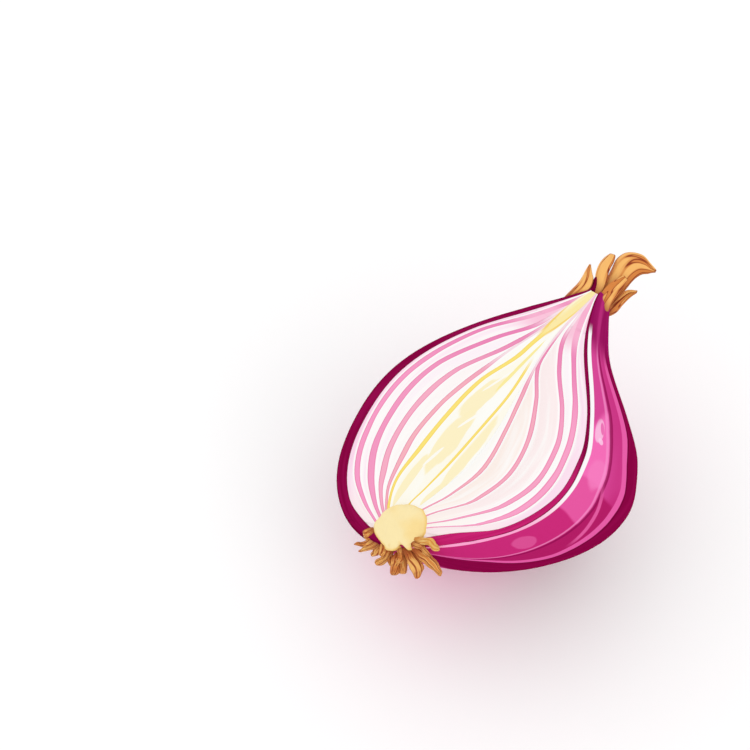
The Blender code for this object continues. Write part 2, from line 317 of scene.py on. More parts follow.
def shell(name, outside, inside, last, start_turn=0.0, outer_trim=0.0, rim=0.025 * MM):
    """One closed layer between two sheets, with its cut rims rounded off a little."""
    outer = sheet(name, *outside, last, start_turn, outer_trim)
    inner = sheet(name + "_inside", *inside, last, start_turn)
    thick = np.linalg.norm(points_of(outer) - points_of(inner), axis=1) / MM
    none = np.zeros_like(thick)
    for piece, depth in ((outer, none), (inner, thick)):
        write_attribute(piece, "place", bulb_place(points_of(piece)))
        write_attribute(piece, "layer", np.stack((depth, thick, none), axis=1))
    take_up(outer)
    inner.select_set(True)
    bpy.ops.object.join()
    for side in open_sides(outer):
        bridge(outer, side)
    face_outwards()
    select_cut_edges(outer, last)
    edit_mode()
    bpy.ops.mesh.bevel(offset=rim, segments=2, clamp_overlap=False)
    bpy.ops.mesh.select_mode(type="VERT")
    object_mode()
    smooth_by(50)
    return outer


def select_cut_edges(piece, last):
    """Selects the rims that run along the cut, away from the crowded ends."""
    mesh = piece.data
    points = points_of(piece)
    place = attribute_of(piece, "place")
    layer = attribute_of(piece, "layer")
    for edge in mesh.edges:
        a, b = edge.vertices
        on_cut = abs(points[a][2]) < 1e-6 and abs(points[b][2]) < 1e-6
        lengthwise = (layer[a][0] == 0) == (layer[b][0] == 0)
        clear = min(place[a][1], place[b][1]) > 0.06 and max(place[a][1], place[b][1]) < last - 0.12
        edge.select = bool(on_cut and lengthwise and clear)


def attribute_of(piece, name):
    data = piece.data.attributes[name].data
    rows = np.empty(len(data) * 3, np.float32)
    data.foreach_get("vector", rows)
    return rows.reshape(-1, 3)


def eased(value, low, high):
    """0 below low, 1 above high, and smooth between."""
    u = min(max((value - low) / (high - low), 0.0), 1.0)
    return u * u * (3 - 2 * u)


TEAR_AT = 0.2


def torn(t):
    """How far round the outer skin's free edge is torn at share t of the length, in radians."""
    broad = noise.noise(Vector((t * 5, 3.3, 0.0)))
    fine = abs(noise.noise(Vector((t * 19, 8.1, 0.0))))
    return 0.3 * broad - 0.28 * fine


def settle(piece, floor_gap, stands_off=False):
    """Spreads the cut's right edge, eases the skin off the neck, and moves every point a little, the same
    way in every layer, so that no line runs too true. What would reach under the floor is pressed flat."""
    points = points_of(piece)
    place = bulb_place(points)
    moved = points.copy()
    down = (LYING.to_3x3().inverted() @ Vector((0, 0, 1))).normalized()
    for i, point in enumerate(points):
        turn, t, share = place[i]
        depth = -point[2]
        spread = share_at(RIGHT_SPREAD, t) * radius_at(t)
        spread *= eased(share, 0.6, 1.0) * (1 - eased(depth, 0, 7 * MM))
        moved[i] += (spread, spread * BASE_SLANT * (1 - t), 0)
        if stands_off:
            torn_share = 1 - eased(turn, TEAR_AT, TEAR_AT + 0.16)
            tear = torn(t) * torn_share
            arm = Vector((point[0] - bow_at(t), point[2] + CENTRE_DEPTH * radius_at(t)))
            swung = Matrix.Rotation(tear, 2) @ arm - arm + arm.normalized() * 0.18 * MM * torn_share
            moved[i] += (swung.x, 0, swung.y)
            room = share_at(NECK_ROOM, t, ROOM_STATIONS) * MM
            room *= eased(turn, 0.46, 0.63) * (1 - eased(turn, 0.9, 1.0))
            moved[i] += room * np.array((0.72, 0.0, -0.69))
        wander = noise.noise_vector(Vector(point) / (9 * MM)) * 0.2 * MM
        sunk = min(max(depth / (2 * MM), 0.0), 1.0)
        moved[i] += (wander.x, wander.y, wander.z * sunk)
        height = (LYING @ Vector(moved[i])).z
        if height < floor_gap:
            moved[i] += np.array(down) * (floor_gap - height)
    set_points(piece, moved)


def smooth_path(rows, count):
    """count rows of points on smooth curves through the given rows, in metres."""
    rows = [np.array(row, float) * MM for row in rows]
    found = []
    for k in range(count):
        place = k / (count - 1) * (len(rows) - 1)
        i = min(int(place), len(rows) - 2)
        u = place - i
        before, a, b, after = (rows[min(max(j, 0), len(rows) - 1)] for j in (i - 1, i, i + 1, i + 2))
        found.append(between(u, a, b, (b - before) / 2, (after - a) / 2))
    return found


def turn_selection(turn, centre):
    """Turns what is selected by a rotation matrix, about a point."""
    for axis, angle in zip("XYZ", turn.to_euler("XYZ")):
        bpy.ops.transform.rotate(value=-angle, orient_axis=axis, center_override=centre)


BLADE_ROWS = 22
BLADE_STEPS = 12


def blade(name, rows, cup):
    """A dry leaf: a cupped row of points spun at its base, drawn out row by row between its two edges."""
    edges = smooth_path(rows, BLADE_ROWS)
    piece = begin(name)
    frames = []
    for left, right in edges:
        side = Vector(right - left)
        outward = (TOWARDS_VIEW - TOWARDS_VIEW.project(side)).normalized()
        side_way = side.normalized()
        heading = side_way.cross(outward)
        frame_turn = Matrix((side_way, outward, heading)).transposed()
        frames.append((Vector(left + right) / 2, side.length, frame_turn))
    middle, width, turn = frames[0]
    reach = width / (2 * math.sin(cup / 2))
    centre = middle - turn.col[1] * reach * math.cos(cup / 2)
    bpy.ops.transform.translate(value=Vector(edges[0][0]))
    bpy.ops.mesh.spin(steps=BLADE_STEPS, angle=cup, center=centre, axis=turn.col[2])
    select_everything()
    for to, to_width, to_turn in frames[1:]:
        grow = max(to_width, 0.05 * MM) / max(width, 0.05 * MM)
        bpy.ops.mesh.extrude_region_move(TRANSFORM_OT_translate={"value": to - middle})
        turn_selection(to_turn @ turn.transposed(), to)
        bpy.ops.transform.resize(value=(grow, grow, grow), center_override=to)
        middle, width, turn = to, to_width, to_turn
    object_mode()
    return piece


LEAF_WALL = 0.28 * MM
CREASES = 0.22 * MM


def finish_blade(piece, seed, wall=LEAF_WALL, creases=CREASES):
    """Gives a leaf its lengthwise creases, its ragged tip and its thickness."""
    row = BLADE_STEPS + 1
    points = points_of(piece)
    first = np.array([np.linalg.norm(p - points[0]) for p in points[:row]])
    order = np.argsort(first)
    rank = np.empty(row)
    rank[order] = np.arange(row) / BLADE_STEPS
    across = np.tile(rank, BLADE_ROWS)
    along = np.repeat(np.arange(BLADE_ROWS) / (BLADE_ROWS - 1), row)
    write_attribute(piece, "fibre", np.stack((across, along, np.full_like(across, seed)), axis=1))
    outward = np.array(TOWARDS_VIEW)
    for i, point in enumerate(points):
        fold = noise.noise(Vector((across[i] * 5.5, along[i] * 1.1, seed * 7.3)))
        fold += 0.5 * noise.noise(Vector((across[i] * 12, along[i] * 2.0, seed * 3.1)))
        curl = noise.noise_vector(Vector(point) / (2.2 * MM) + Vector((seed, 0, 0)))
        points[i] = point + outward * fold * creases + np.array(curl) * 0.12 * MM * along[i]
    set_points(piece, points)
    take_up(piece)
    wall_modifier = piece.modifiers.new("wall", "SOLIDIFY")
    wall_modifier.thickness = wall
    wall_modifier.offset = 0.0
    smoother = piece.modifiers.new("smooth", "SUBSURF")
    smoother.levels = smoother.render_levels = 1
    bpy.ops.object.modifier_apply(modifier="wall")
    bpy.ops.object.modifier_apply(modifier="smooth")
    face_outwards()
    smooth_by(60)
    return piece


STRAND_SIDES = 12
BLUNT = (0.62, 0.8, 0.94, 1.02, 1.08, 1.1, 1.06, 0.92, 0.6)
POINTED = (0.6, 0.86, 1.0, 1.04, 1.0, 0.9, 0.74, 0.5, 0.2)


def model_strand(name, profile):
    """One rootlet of unit length and width along +Y: a fluted ring drawn out, which closes at its tip."""
    bpy.ops.object.select_all(action="DESELECT")
    bpy.ops.mesh.primitive_circle_add(
        vertices=STRAND_SIDES, radius=0.5, location=(0, 0, 0), rotation=(math.pi / 2, 0, 0), fill_type="NGON"
    )
    piece = bpy.context.active_object
    piece.name = name
    bpy.ops.object.transform_apply(location=True, rotation=True, scale=True)
    for vertex in piece.data.vertices:
        vertex.select = vertex.index % 2 == 0
    for item in (*piece.data.edges, *piece.data.polygons):
        item.select = False
    edit_mode()
    bpy.ops.transform.resize(value=(0.7, 1, 0.7), center_override=(0, 0, 0))
    select_everything()
    width = profile[0]
    bpy.ops.transform.resize(value=(width, 1, width), center_override=(0, 0, 0))
    step = 1 / (len(profile) - 1)
    for k, to_width in enumerate(profile[1:], 1):
        bpy.ops.mesh.extrude_region_move(TRANSFORM_OT_translate={"value": (0, step, 0)})
        grow = to_width / width
        bpy.ops.transform.resize(value=(grow, 1, grow), center_override=(0, k * step, 0))
        width = to_width
    object_mode()
    face_outwards()
    points = points_of(piece)
    spokes = np.arctan2(points[:, 2], points[:, 0]) / (2 * math.pi) * STRAND_SIDES
    ridge = np.abs(np.round(spokes) % 2)
    write_attribute(piece, "fibre", np.stack((ridge, points[:, 1], np.zeros(len(points))), axis=1))
    smoother = piece.modifiers.new("smooth", "SUBSURF")
    smoother.levels = smoother.render_levels = 2
    bpy.ops.object.modifier_apply(modifier="smooth")
    bpy.ops.object.shade_smooth()
    return piece


def place_strand(model, name, start, tip, width, flat, bend, seed):
    """A copy of the modelled rootlet, stretched between two points, bent and made uneven."""
    take_up(model)
    bpy.ops.object.duplicate(linked=False)
    piece = bpy.context.active_object
    piece.name = name
    start, tip = Vector(start) * MM, Vector(tip) * MM
    heading = (tip - start).normalized()
    side = TOWARDS_VIEW.cross(heading).normalized()
    turn = Matrix((side, heading, side.cross(heading))).transposed()
    length = (tip - start).length
    moved = points_of(piece)
    for i, (x, along, z) in enumerate(moved.copy()):
        arch = 4 * along * (1 - along) * bend
        local = Vector((x * width + arch, along * length, z * width * flat))
        where = start + turn @ local
        uneven = noise.noise_vector(where / (1.2 * MM) + Vector((seed * 5.0, 0, 0))) * 0.34 * MM
        moved[i] = where + uneven * (0.3 + along)
    set_points(piece, moved)
    fibre = attribute_of(piece, "fibre")
    fibre[:, 2] = seed
    piece.data.attributes["fibre"].data.foreach_set("vector", fibre.ravel())
    return piece


def sprout(name, left, right, last):
    """One solid young leaf: its round outside, closed by a face along the cut."""
    piece = sheet(name, left, right, last, trim=LAYER_GAP)
    rims = [keys for keys in open_sides(piece) if len(keys) == RING_COUNT - 1]
    bridge(piece, rims[0] | rims[1], cuts=6)
    edit_mode()
    select_everything()
    bpy.ops.mesh.fill_holes(sides=0)
    object_mode()
    face_outwards()
    place = bulb_place(points_of(piece))
    half = np.array([radius_at(t) for t in place[:, 1]]) * math.cos(CUT_LEAN) / MM
    from_left = (place[:, 2] + [share_at(left, t) for t in place[:, 1]]) * half
    from_right = ([share_at(right, t) for t in place[:, 1]] - place[:, 2]) * half
    write_attribute(piece, "place", place)
    write_attribute(piece, "layer", np.stack((from_left, from_left + from_right, from_right), axis=1))
    smooth_by(50)
    return piece


def root_disc():
    """The root plate: a ball pressed into a disc, domed a little above the cut, with a lumpy surface."""
    bpy.ops.object.select_all(action="DESELECT")
    bpy.ops.mesh.primitive_uv_sphere_add(segments=96, ring_count=48, radius=1.0, location=(0, 0, 0))
    piece = bpy.context.active_object
    piece.name = "plate"
    points = points_of(piece)
    rim_rows = np.abs(points[:, [2, 2, 2]])
    for i, (x, y, z) in enumerate(points):
        around = math.atan2(y, x)
        oval = 0.13 * math.cos(2 * (around - math.radians(60))) + 0.02 * math.sin(5 * around + 1.0)
        narrow = 0.22 * (1 - eased(abs(around - math.radians(-33)), 0.04, 0.2))
        broad = 0.1 * (1 - eased(abs(around - math.radians(-80)), 0.1, 0.3))
        notch = -0.16 * (1 - eased(abs(around - math.radians(-53)), 0.03, 0.2))
        grow = 1 + (oval + narrow + broad + notch) * (1 - abs(z))
        points[i] = (x * grow, y * grow - 0.55 * min(z, 0.0), z * (0.3 if z > 0 else 1.0))
    points = points * np.array(PLATE_SIZE) + np.array(PLATE_CENTRE)
    set_points(piece, points)
    write_attribute(piece, "place", rim_rows)
    texture = bpy.data.textures.new("lumps", "CLOUDS")
    texture.noise_scale = 1.5 * MM
    lumps = piece.modifiers.new("lumps", "DISPLACE")
    lumps.texture = texture
    lumps.texture_coords = "LOCAL"
    lumps.strength = 0.55 * MM
    lumps.mid_level = 0.5
    bpy.ops.object.modifier_apply(modifier="lumps")
    bpy.ops.object.shade_smooth()
    return piece


def cut_off(piece, place, facing):
    """Cuts the piece's neck end off along a plane and closes the cut."""
    take_up(piece)
    edit_mode()
    select_everything()
    bpy.ops.mesh.bisect(plane_co=place, plane_no=facing, use_fill=True, clear_outer=True)
    bpy.ops.mesh.select_mode(type="VERT")
    object_mode()
    smooth_by(50)


# ---------------------------------------------------------------- finishes


STUDIO_SHARE = 0.91


def colour(red, green, blue):
    """A colour given in screen values from 0 to 255, as it looks in this bright studio."""
    parts = [value / 255 for value in (red, green, blue)]
    linear = [v / 12.92 if v <= 0.04045 else ((v + 0.055) / 1.055) ** 2.4 for v in parts]
    return (*(STUDIO_SHARE * v for v in linear), 1.0)


class Value:
    """What a node gives out, which changes over the surface. + - * put a maths node in the same tree."""

    def __init__(self, socket):
        self.socket = socket

    def __add__(self, other):
        return maths("ADD", self, other)

    def __sub__(self, other):
        return maths("SUBTRACT", self, other)

    def __rsub__(self, other):
        return maths("SUBTRACT", other, self)

    def __mul__(self, other):
        return maths("MULTIPLY", self, other)


def outputs_of(node):
    return {socket.name: Value(socket) for socket in node.outputs}


def add(kind, inputs, tree=None, **settings):
    """A node beside the values that it takes, with its settings, and its inputs linked or set."""
    tree = tree or next(v.socket.id_data for v in inputs.values() if isinstance(v, Value))
    node = tree.nodes.new(kind)
    for name, value in settings.items():
        setattr(node, name, value)
    for key, value in inputs.items():
        if isinstance(value, Value):
            tree.links.new(value.socket, node.inputs[key])
        else:
            node.inputs[key].default_value = value
    return node


def maths(operation, a, b=0.0, c=0.0):
    return Value(add("ShaderNodeMath", {0: a, 1: b, 2: c}, operation=operation).outputs[0])


def ramped(value, low, high, start=0.0, end=1.0):
    """The value brought smoothly from low..high to start..end."""
    inputs = {"Value": value, "From Min": low, "From Max": high, "To Min": start, "To Max": end}
    return Value(add("ShaderNodeMapRange", inputs, interpolation_type="SMOOTHSTEP").outputs["Result"])


def mixed(amount, a, b):
    """Colour a where the amount is 0, and colour b where it is 1."""
    node = add("ShaderNodeMix", {0: amount, 6: a, 7: b}, data_type="RGBA", clamp_factor=True)
    return Value(node.outputs[2])


def vector_of(x=0.0, y=0.0, z=0.0):
    return Value(add("ShaderNodeCombineXYZ", {"X": x, "Y": y, "Z": z}).outputs[0])


def noise_at(vector, scale=1.0, detail=2.0, roughness=0.5):
    inputs = {"Vector": vector, "Scale": scale, "Detail": detail, "Roughness": roughness}
    return Value(add("ShaderNodeTexNoise", inputs).outputs["Fac"])


def curve_of(value, points):
    """A smooth curve through (value, result) points between 0 and 1."""
    node = add("ShaderNodeFloatCurve", {"Value": value})
    curve = node.mapping.curves[0]
    while len(curve.points) > 2:
        curve.points.remove(curve.points[1])
    curve.points[0].location, curve.points[1].location = points[0], points[-1]
    for point in points[1:-1]:
        curve.points.new(*point)
    node.mapping.update()
    return Value(node.outputs[0])


def stripe(away, half, soft):
    """1 where away from 0 by less than half, fading out over soft."""
    return ramped(maths("ABSOLUTE", away), half, half + soft, 1.0, 0.0)


def new_group(name, **inputs):
    """An empty node group, and its inputs with their usual values. An underscore stands for a space."""
    group = bpy.data.node_groups.new(name, "ShaderNodeTree")
    for label, usual in inputs.items():
        label = label.replace("_", " ")
        socket = group.interface.new_socket(label, in_out="INPUT", socket_type="NodeSocketFloat")
        socket.default_value = usual
    return group, outputs_of(group.nodes.new("NodeGroupInput"))


def close_group(group, **results):
    """Gives the node group its outputs."""
    for label in results:
        group.interface.new_socket(label, in_out="OUTPUT", socket_type="NodeSocketFloat")
    ends = group.nodes.new("NodeGroupOutput").inputs
    for label, value in results.items():
        group.links.new(value.socket, ends[label])
    return group


def use_group(group, **inputs):
    """The outputs of the node group, placed with these inputs. An underscore stands for a space."""
    inputs = {label.replace("_", " "): value for label, value in inputs.items()}
    return outputs_of(add("ShaderNodeGroup", inputs, node_tree=group))


def streak_group():
    """Uneven streaks that run the length of the bulb: Around and Along place them, Wander bends them."""
    group, given = new_group(
        "lengthwise_streaks", Around=0, Along=0, Count=10, Stretch=1, Wander=0.04, Seed=0, Low=0.4, High=0.6
    )
    around, along, seed = given["Around"], given["Along"], given["Seed"]
    sway = (noise_at(vector_of(around * 4.0, along * 3.0, seed)) - 0.5) * given["Wander"]
    place = vector_of((around + sway) * given["Count"], along * given["Stretch"], seed)
    return close_group(group, Streak=ramped(noise_at(place, 1.0, 2.0, 0.55), given["Low"], given["High"]))


def line_group():
    """A grown line between 0 and Width from an edge, with darker sides and a pale margin beyond it, which is a
    painted highlight.
    """
    group, given = new_group("grown_line", Distance=0, Width=0.3, Along=0, Seed=0, Start=0.1, End=0.8)
    distance, along, start, end = (given[name] for name in ("Distance", "Along", "Start", "End"))
    swell = noise_at(vector_of(along * 7.0, given["Seed"], 0.3), 1.0, 1.0)
    shape = given["Width"] * (swell * 0.6 + 0.7)
    fade_in = ramped(along, start, start + 0.16, 0.55, 1.0)
    fade_out = ramped(along, end, end + 0.12, 1.0, 0.45)
    past = distance - shape * fade_in * fade_out
    fill = ramped(past, -0.05, 0.07, 1.0, 0.0)
    far_side = stripe(past + 0.06, 0.03, 0.07)
    near_side = ramped(distance, 0.04, 0.16, 1.0, 0.0)
    margin = ramped(past, 0.1, 0.55, 1.0, 0.0)
    return close_group(group, Fill=fill, Sides=maths("MAXIMUM", far_side, near_side) * fill, Margin=margin)


def patch_group():
    """A soft-edged oval patch that leans and has an uneven outline."""
    group, given = new_group(
        "soft_patch",
        Across=0, Along=0, At_Across=0, At_Along=0, Half_Width=0.1, Half_Length=0.1, Lean=0, Softness=0.2,
    )
    across, along = given["Across"], given["Along"]
    length = along - given["At Along"]
    width = across - given["At Across"] - length * given["Lean"]
    x = maths("DIVIDE", width, given["Half Width"])
    y = maths("DIVIDE", length, given["Half Length"])
    far = maths("SQRT", x * x + y * y)
    ragged = far + (noise_at(vector_of(across * 12.0, along * 9.0)) - 0.5) * 0.7
    return close_group(group, Patch=ramped(ragged, 1.0 - given["Softness"], 1.0, 1.0, 0.0))


def fibre_group():
    """Dry plant fibre: ridges and hollows that run along a strand or leaf, with painted light and shade on the
    sides of its folds and painted shade in its creases.
    """
    group, given = new_group("dry_fibre", Across=0, Along=0, Seed=0, Fibres=12, Stretch=2)
    place = vector_of(given["Across"] * given["Fibres"], given["Along"] * given["Stretch"], given["Seed"] * 3.7)
    coarse = noise_at(place, 1.0, 3.0, 0.6)
    fine = noise_at(place, 3.1, 2.0, 0.6)
    broad = noise_at(place, 1.0, 0.5)
    return close_group(
        group,
        # Painted light and shade: 1 on the lit side of a fold, 0 on the shaded side; then painted shade along
        # the creases
        Tone=ramped(broad * 0.85 + fine * 0.15, 0.44, 0.56),
        Crease=stripe(broad - 0.44, 0.008, 0.026),
        Height=coarse * 0.7 + fine * 0.3,
    )


def heart_group():
    """The yellow heart that opens out towards the neck, and the stronger lines along its two sides."""
    group, given = new_group("yellow_heart", Across=0, Along=0)
    across, along = given["Across"], given["Along"]
    up = maths("MAXIMUM", along - 0.78, 0.0)
    left = across - (-0.14 - (up * 0.6 + up * up * 8.0))
    right = up * 1.5 - 0.045 - across
    inside = maths("MINIMUM", left, right)
    open_end = ramped(along, 0.77, 0.83)
    glow = ramped(inside, -0.02, 0.03) * open_end
    pale = ramped(left, 0.02, 0.2, 1.0, 0.0) * ramped(along, 0.86, 0.93)
    lines = stripe(inside - 0.02, 0.012, 0.03) * open_end
    return close_group(
        group, Glow=glow, Lines=lines * ramped(along, 0.88, 0.93, 1.0, 0.3), Pale=pale * glow
    )


def new_finish(name, roughness, coat=0.0, coat_roughness=0.1, shine=0.3):
    """A new material: itself, its node tree and its shader."""
    material = bpy.data.materials.new(name)
    material.use_nodes = True
    shader = material.node_tree.nodes["Principled BSDF"]
    shader.inputs["Roughness"].default_value = roughness
    shader.inputs["Specular IOR Level"].default_value = shine
    shader.inputs["Coat Weight"].default_value = coat
    shader.inputs["Coat Roughness"].default_value = coat_roughness
    return material, material.node_tree, shader


def attribute(tree, name):
    """The three numbers of a named attribute."""
    node = add("ShaderNodeAttribute", {}, tree, attribute_name=name, attribute_type="GEOMETRY")
    return outputs_of(add("ShaderNodeSeparateXYZ", {0: Value(node.outputs["Vector"])}))


def finished(shader, base, height, strength, distance):
    """Links the colour and a bump of the given height in metres."""
    bump = add("ShaderNodeBump", {"Height": height, "Strength": strength, "Distance": distance})
    links = shader.id_data.links
    links.new(base.socket, shader.inputs["Base Color"])
    links.new(bump.outputs["Normal"], shader.inputs["Normal"])


def streaks_of(groups, around, along, count, stretch, seed, low, high, wander=0.04):
    return use_group(
        groups["streaks"],
        Around=around, Along=along, Count=count, Stretch=stretch, Wander=wander, Seed=seed, Low=low, High=high,
    )["Streak"]


def with_heart(groups, base, share, along, glow):
    """The base colour with the yellow heart laid over it."""
    heart = use_group(groups["heart"], Across=share, Along=along)
    base = mixed(heart["Glow"], base, glow)
    base = mixed(heart["Pale"], base, colour(255, 250, 226))
    return mixed(heart["Lines"] * 0.8, base, colour(249, 207, 76))


# How the outer skin's bands run: (share of the length, turn of the way round)
SHOULDER = (
    (0.0, 0.84), (0.05, 0.85), (0.1, 0.866), (0.17, 0.89), (0.3, 0.921), (0.4, 0.94),
    (0.5, 0.948), (0.6, 0.954), (0.8, 0.957), (0.9, 0.94), (1.0, 0.92),
)
FLANK = (
    (0.0, 0.84), (0.04, 0.83), (0.08, 0.811), (0.14, 0.811), (0.2, 0.83), (0.3, 0.854),
    (0.44, 0.882), (0.55, 0.905), (0.69, 0.92), (0.8, 0.92), (0.9, 0.90), (1.0, 0.88),
)
# The painted highlights beside the cut: strength, colour, turn and share of the length, half width and half
# length, lean and softness
SKIN_PAINTED_HIGHLIGHTS = (
    (0.8, (246, 126, 192), 0.968, 0.42, 0.03, 0.07, 0.0, 0.3),
    (0.7, (228, 92, 160), 0.935, 0.115, 0.042, 0.024, 0.0, 0.2),
    (0.9, (252, 190, 226), 0.984, 0.565, 0.013, 0.048, -0.12, 0.2),
    (0.9, (236, 104, 176), 0.977, 0.578, 0.006, 0.026, 0.0, 0.3),
    (0.8, (254, 206, 236), 0.98, 0.533, 0.008, 0.014, 0.0, 0.3),
)


def spotted(groups, base, across, along, spots):
    """The base colour with soft oval spots laid over it."""
    for strength, tint, at_across, at_along, half_width, half_length, lean, softness in spots:
        spot = use_group(
            groups["patch"],
            Across=across, Along=along, At_Across=at_across, At_Along=at_along,
            Half_Width=half_width, Half_Length=half_length, Lean=lean, Softness=softness,
        )["Patch"]
        base = mixed(spot * strength, base, colour(*tint))
    return base


def skin_finish(groups):
    """The glossy outer skin, its gloss painted on as highlights: light magenta at the cut, then darker bands
    down to a maroon band of painted shade, with streaks on the far side.
    """
    material, tree, shader = new_finish("magenta_skin", 0.36, 0.0, 0.12, 0.0)
    place = attribute(tree, "place")
    layer = attribute(tree, "layer")
    turn, along = place["X"], place["Y"]
    sway = noise_at(vector_of(turn * 3.0, along * 5.0, 2.0)) - 0.5
    around = turn + sway * 0.012
    wide = streaks_of(groups, around, along, 9.0, 1.2, 1.0, 0.36, 0.62)
    fine = streaks_of(groups, around, along, 34.0, 1.6, 5.0, 0.35, 0.7)
    dark = streaks_of(groups, around, along, 16.0, 0.9, 9.0, 0.6, 0.66)
    far_side = mixed(wide, colour(190, 36, 110), colour(226, 86, 160))
    far_side = mixed(fine * 0.35, far_side, colour(238, 124, 188))
    far_side = mixed(dark * 0.8, far_side, colour(146, 14, 80))

    # The bands, from the cut outwards: light, middle and maroon. They follow the skin's stripes, with painted
    # light on the light band by the cut and painted shade in the maroon band towards the flank
    shoulder = around - curve_of(along, SHOULDER)
    flank = around - curve_of(along, FLANK)
    maroon = mixed(fine * 0.4, colour(136, 6, 66), colour(158, 16, 84))
    step = along + sway * 0.1
    middle = mixed(wide, colour(198, 46, 124), colour(212, 68, 146))
    middle = mixed(ramped(step, 0.35, 0.37), colour(180, 30, 102), middle)
    light = mixed(ramped(step, 0.37, 0.39), colour(231, 88, 162), colour(245, 110, 184))
    # Below about a quarter of the length the light band is darker: painted shade at the root end
    light = mixed(ramped(along + sway * 0.12, 0.243, 0.253), colour(204, 44, 122), light)
    # Painted highlights: pale spots beside the cut
    light = spotted(groups, light, around, along, SKIN_PAINTED_HIGHLIGHTS)
    upper = ramped(step + (turn - 0.96) * 2.0, 0.63, 0.67)
    light = mixed(upper * 0.8, light, colour(208, 60, 142))

    # The lines where one band meets the next, and a branch between two of them; the light line along the flank
    # is a painted highlight
    base = mixed(ramped(shoulder, -0.002, 0.002), middle, light)
    base = mixed(stripe(shoulder, 0.003, 0.003) * 0.85, base, colour(148, 14, 82))
    base = mixed(stripe(shoulder - 0.011, 0.002, 0.003) * 0.6, base, colour(250, 150, 208))
    branch = around - (along * 0.456 + 0.76)
    reach = ramped(along, 0.18, 0.24) * ramped(along, 0.34, 0.42, 1.0, 0.0)
    base = mixed(stripe(branch, 0.004, 0.004) * reach * 0.9, base, colour(232, 96, 166))
    # The maroon band on the flank: painted shade where the skin turns away
    base = mixed(ramped(flank, -0.013, -0.01), maroon, base)
    lower = ramped(along, 0.78, 0.87, 0.95, 0.0)
    # A painted highlight: the light line along the flank, fading out towards the neck
    base = mixed(stripe(flank, 0.009, 0.003) * lower, base, colour(234, 96, 170))
    base = mixed(stripe(flank + 0.014, 0.002, 0.003) * 0.8, base, colour(112, 4, 52))
    base = mixed(ramped(around, 0.5, 0.58), far_side, base)

    # The dark neck with a painted highlight streak, and the pale edge of the cut: the skin's own pale inside,
    # brightened by a painted highlight along the rim
    neck = mixed(wide, colour(134, 8, 74), colour(160, 22, 100))
    base = mixed(ramped(along, 0.79, 0.88) * 0.95, base, neck)
    # Painted highlight: a light streak on the dark neck
    lit = stripe(around - 0.955, 0.004, 0.012) * ramped(along, 0.8, 0.9)
    base = mixed(lit * 0.55, base, colour(200, 56, 134))
    # The cut edge: the skin's pale inside, painted brighter as a highlight along the rim
    rim = mixed(ramped(along, 0.1, 0.32), colour(255, 168, 212), colour(255, 251, 253))
    rim = mixed(ramped(along, 0.86, 0.9), rim, colour(150, 18, 92))
    base = mixed(ramped(layer["X"], 0.03, 0.1), base, rim)
    finished(shader, base, fine + wide, 0.3, 0.00008)
    return material


def border_finish(groups):
    """The dark skin round the cut, a little darker at its two edges."""
    material, tree, shader = new_finish("dark_maroon_skin", 0.5, 0.0, 0.2, 0.0)
    place = attribute(tree, "place")
    layer = attribute(tree, "layer")
    depth = layer["X"]
    streaks = streaks_of(groups, depth, place["Y"], 2.2, 6.0, 3.0, 0.3, 0.7)
    dark = mixed(streaks, colour(132, 5, 62), colour(150, 14, 78))
    bright = mixed(streaks, colour(190, 28, 104), colour(206, 40, 118))
    lower_right = ramped(place["Z"], -0.1, 0.4) * ramped(place["Y"], 0.3, 0.5, 1.0, 0.0)
    base = mixed(lower_right, dark, bright)
    near = maths("MINIMUM", depth, layer["Y"] - depth)
    base = mixed(ramped(near, 0.03, 0.16, 0.8, 0.0), base, colour(118, 5, 52))
    finished(shader, base, streaks, 0.25, 0.00005)
    return material


# Each scale's cut: its tint left and right, its line's colour left and right, the line's width left and
# right in millimetres, where the line starts and ends along the length, and its seed
SCALE_LOOKS = (
    ((253, 214, 234), (253, 224, 240), None, None, 0.0, 0.0, 0.0, 1.0, 1.0),
    ((255, 236, 246), (255, 246, 250), (250, 152, 198), (250, 158, 200), 0.86, 0.84, 0.04, 0.9, 2.0),
    ((254, 243, 249), (254, 238, 238), (246, 150, 194), (248, 160, 196), 0.94, 0.72, 0.04, 0.78, 3.0),
    ((254, 247, 246), (254, 240, 233), (249, 172, 198), (247, 170, 190), 0.9, 0.62, 0.1, 0.76, 4.0),
    ((254, 251, 242), (255, 252, 246), (249, 178, 190), (247, 178, 188), 0.75, 0.56, 0.14, 0.6, 5.0),
)


